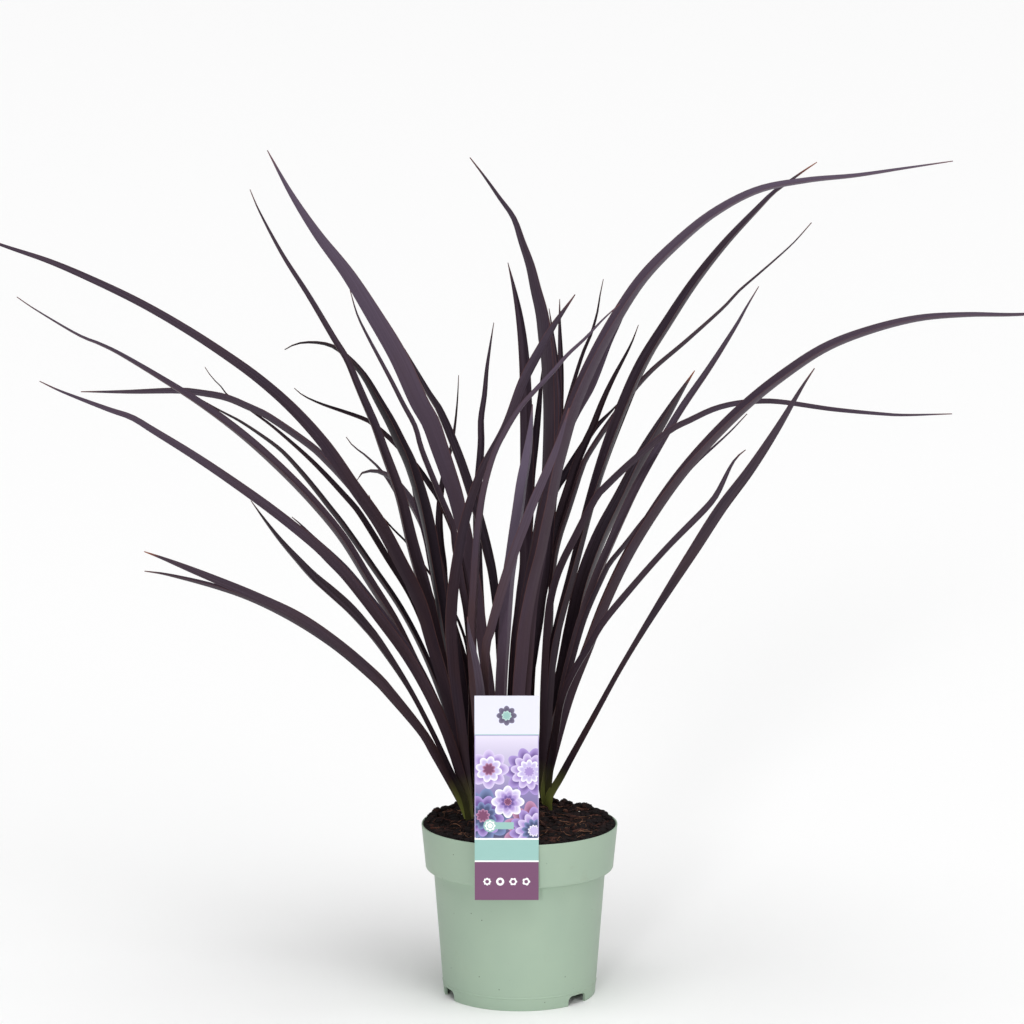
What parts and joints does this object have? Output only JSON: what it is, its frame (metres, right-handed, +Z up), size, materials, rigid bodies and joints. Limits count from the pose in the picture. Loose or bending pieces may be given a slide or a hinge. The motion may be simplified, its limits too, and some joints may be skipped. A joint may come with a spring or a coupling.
{
  "type": "potted new zealand flax",
  "caption": "Potted New Zealand flax: long arching purple-brown blades in leafy shoots, standing in soil in a sage-green nursery pot with a plain printed card label.",
  "frame": {"origin": "centre of the circle that the pot's foot stands on", "axes": "+Z up along the pot's axis, +X to the right as the label is read, and the label faces -Y"},
  "size_m": [0.9441, 0.4868, 0.7311],
  "materials": {
    "pot_plastic": "satin moulded polypropylene, sage green",
    "potting_soil": "moist dark peat and coir, rough",
    "label_card": "thin printed plastic card, satin",
    "leaf": "leathery dark purple-brown blade, satin"
  },
  "bodies": {
    "root": {"pot": "pot_plastic", "soil": "potting_soil", "label": "label_card", "shoot_01": "leaf", "shoot_02": "leaf", "shoot_03": "leaf", "shoot_04": "leaf", "shoot_05": "leaf", "shoot_06": "leaf", "shoot_07": "leaf", "shoot_08": "leaf", "shoot_09": "leaf", "shoot_10": "leaf"}
  },
  "joints": []
}
